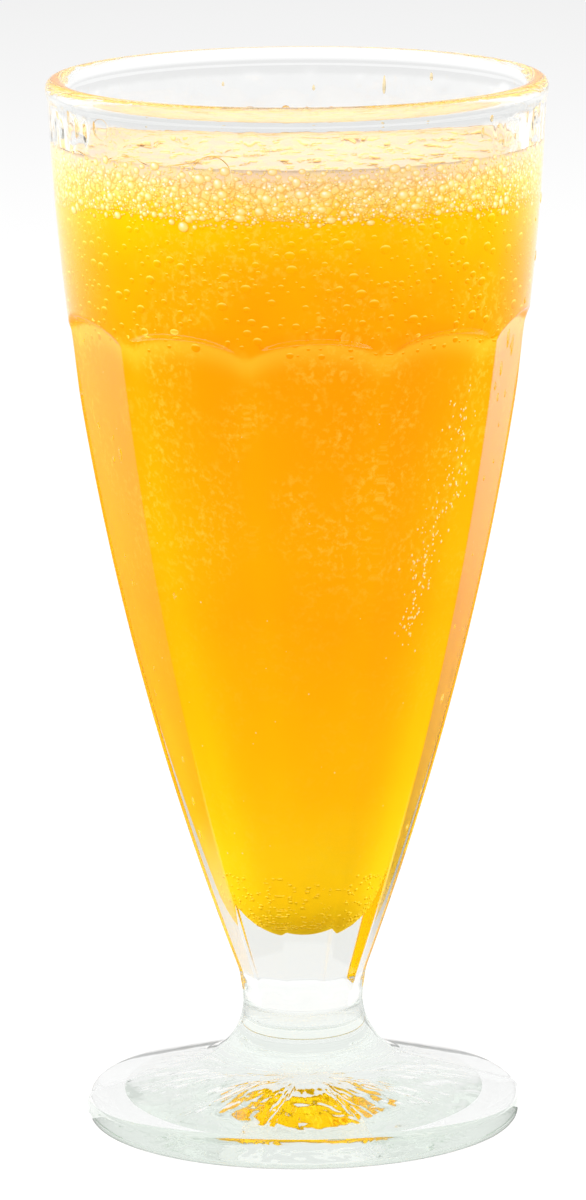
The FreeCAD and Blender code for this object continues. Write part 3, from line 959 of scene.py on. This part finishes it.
def makeFloorMaterial(s):
    # a matt pale table top that keeps the shadow, and that the camera, gloss and glass see as white
    material, tree = newMaterial("paleFloor")
    place = addNode(tree, "ShaderNodeTexCoord")
    split = addNode(tree, "ShaderNodeSeparateXYZ", inputs={0: place.outputs["Object"]})
    far = addNode(tree, "ShaderNodeVectorMath", {"operation": "LENGTH"}, {
        0: place.outputs["Object"]})
    fade = addNode(tree, "ShaderNodeMapRange", inputs={
        "Value": far.outputs["Value"], "From Min": 0.6, "From Max": 1.7,
        "To Min": 1.0, "To Max": s["horizon"]})
    path = addNode(tree, "ShaderNodeLightPath")
    seen = addNode(tree, "ShaderNodeMath", {"operation": "MAXIMUM"}, {
        0: path.outputs["Is Camera Ray"], 1: path.outputs["Is Transmission Ray"]})
    seen = addNode(tree, "ShaderNodeMath", {"operation": "MAXIMUM"}, {
        0: seen.outputs[0], 1: path.outputs["Is Glossy Ray"]})
    # a first reflection on the glass sees the floor dim in front, apart from a spot close behind it
    front = addNode(tree, "ShaderNodeMapRange", {"interpolation_type": "SMOOTHSTEP"}, {
        "Value": split.outputs["Y"], "From Min": 0.05, "From Max": 0.85,
        "To Min": s["frontDim"], "To Max": 0.0})
    away = addNode(tree, "ShaderNodeMapRange", {"interpolation_type": "SMOOTHSTEP"}, {
        "Value": far.outputs["Value"], "From Min": 0.06, "From Max": 0.14})
    before = addNode(tree, "ShaderNodeMath", {"operation": "LESS_THAN"}, {
        0: split.outputs["Y"], 1: 0.0})
    away = addNode(tree, "ShaderNodeMath", {"operation": "MAXIMUM"}, {
        0: away.outputs[0], 1: before.outputs[0]})
    first = addNode(tree, "ShaderNodeMath", {"operation": "LESS_THAN"}, {
        0: path.outputs["Transmission Depth"], 1: 0.5})
    dim = front
    for part in (away.outputs[0], first.outputs[0], path.outputs["Is Glossy Ray"]):
        dim = addNode(tree, "ShaderNodeMath", {"operation": "MULTIPLY"}, {
            0: dim.outputs[0], 1: part})
    lit = addNode(tree, "ShaderNodeMath", {"operation": "SUBTRACT"}, {0: 1.0, 1: dim.outputs[0]})
    lit = addNode(tree, "ShaderNodeMath", {"operation": "MULTIPLY"}, {
        0: lit.outputs[0], 1: fade.outputs[0]})
    matte = addNode(tree, "ShaderNodeBsdfDiffuse", inputs={"Color": colour(s["floorShade"])})
    glow = addNode(tree, "ShaderNodeEmission", inputs={
        "Color": colour("#ffffff"), "Strength": lit.outputs[0]})
    share = addNode(tree, "ShaderNodeMath", {"operation": "MULTIPLY_ADD"}, {
        0: dim.outputs[0], 1: 0.2, 2: 0.8})
    both = addNode(tree, "ShaderNodeMixShader", inputs={
        0: share.outputs[0], 1: matte.outputs[0], 2: glow.outputs[0]})
    mix = addNode(tree, "ShaderNodeMixShader", inputs={
        0: seen.outputs[0], 1: matte.outputs[0], 2: both.outputs[0]})
    addNode(tree, "ShaderNodeOutputMaterial", inputs={"Surface": mix.outputs[0]})
    return material


def makeFloor(s):
    mesh = bmesh.new()
    bmesh.ops.create_circle(mesh, cap_ends=True, segments=96, radius=s["floorRadius"])
    data = toMeshData(mesh, "floor")
    data.materials.append(makeFloorMaterial(s))
    floor = bpy.data.objects.new("floor", data)
    bpy.context.collection.objects.link(floor)


def makeWorld(s):
    world = bpy.data.worlds.new("studioWorld")
    bpy.context.scene.world = world
    world.use_nodes = True
    tree = world.node_tree
    tree.nodes.clear()
    place = addNode(tree, "ShaderNodeTexCoord")
    split = addNode(tree, "ShaderNodeSeparateXYZ", inputs={0: place.outputs["Generated"]})
    path = addNode(tree, "ShaderNodeLightPath")
    front = addNode(tree, "ShaderNodeMapRange", inputs={
        "Value": path.outputs["Transmission Depth"],
        "To Min": s["glossFront"], "To Max": s["frontLevel"]})
    back = addNode(tree, "ShaderNodeMapRange", inputs={
        "Value": path.outputs["Transmission Depth"],
        "To Min": s["glossBack"], "To Max": s["backLevel"]})
    walls = addNode(tree, "ShaderNodeMapRange", {"interpolation_type": "SMOOTHSTEP"}, {
        "Value": split.outputs["Y"], "From Min": -0.5, "From Max": 0.7,
        "To Min": front.outputs[0], "To Max": back.outputs[0]})
    ceiling = addNode(tree, "ShaderNodeMapRange", {"interpolation_type": "SMOOTHSTEP"}, {
        "Value": split.outputs["Z"], "From Min": 0.25, "From Max": 0.9,
        "To Min": 0.0, "To Max": s["ceiling"]})
    room = addNode(tree, "ShaderNodeMath", {"operation": "MAXIMUM"}, {
        0: walls.outputs[0], 1: ceiling.outputs[0]})
    direct = addNode(tree, "ShaderNodeMath", {"operation": "LESS_THAN"}, {
        0: path.outputs["Diffuse Depth"], 1: 0.5})
    level = addNode(tree, "ShaderNodeMix", {"data_type": "FLOAT"}, {
        0: direct.outputs[0], 2: s["ambient"], 3: room.outputs[0]})
    level = addNode(tree, "ShaderNodeMix", {"data_type": "FLOAT"}, {
        0: path.outputs["Is Camera Ray"], 2: level.outputs[0], 3: s["horizon"]})
    light = addNode(tree, "ShaderNodeBackground", inputs={
        "Color": colour("#ffffff"), "Strength": level.outputs[0]})
    addNode(tree, "ShaderNodeOutputWorld", inputs={"Surface": light.outputs[0]})


def makeCamera(s):
    data = bpy.data.cameras.new("camera")
    data.lens = s["lens"]
    data.sensor_width = 36.0
    data.clip_start, data.clip_end = 0.05, 60.0
    camera = bpy.data.objects.new("camera", data)
    bpy.context.collection.objects.link(camera)
    turn = math.radians(s["turn"])
    camera.location = (math.sin(turn) * s["cameraDistance"],
                       -math.cos(turn) * s["cameraDistance"], s["cameraHeight"])
    look = (Matrix.Rotation(turn + math.radians(s["aimLeft"]), 4, "Z")
            @ Matrix.Rotation(math.radians(90 - s["pitch"]), 4, "X")
            @ Matrix.Rotation(math.radians(s["roll"]), 4, "Z"))
    camera.rotation_euler = look.to_euler()
    bpy.context.scene.camera = camera


# a soft lamp that points at the bowl and isn't seen itself
def addLamp(name, place, size, power):
    data = bpy.data.lights.new(name, "AREA")
    data.size = size
    data.energy = power
    lamp = bpy.data.objects.new(name, data)
    bpy.context.collection.objects.link(lamp)
    lamp.location = place
    lamp.rotation_euler = (Vector((0, 0, 0.1)) - Vector(place)).to_track_quat("-Z", "Y").to_euler()
    lamp.visible_camera = False
    lamp.visible_glossy = False
    lamp.visible_transmission = False


makeFloor(studioValues)
makeWorld(studioValues)
makeCamera(studioValues)
for lamp in studioValues["lamps"]:
    addLamp(*lamp)
bpy.context.scene.view_settings.view_transform = "Standard"
# light that runs round inside the foot and the lip needs more than the usual four reflections
bpy.context.scene.cycles.max_bounces = 20
bpy.context.scene.cycles.glossy_bounces = 14
bpy.context.scene.cycles.transmission_bounces = 18
print("studio")
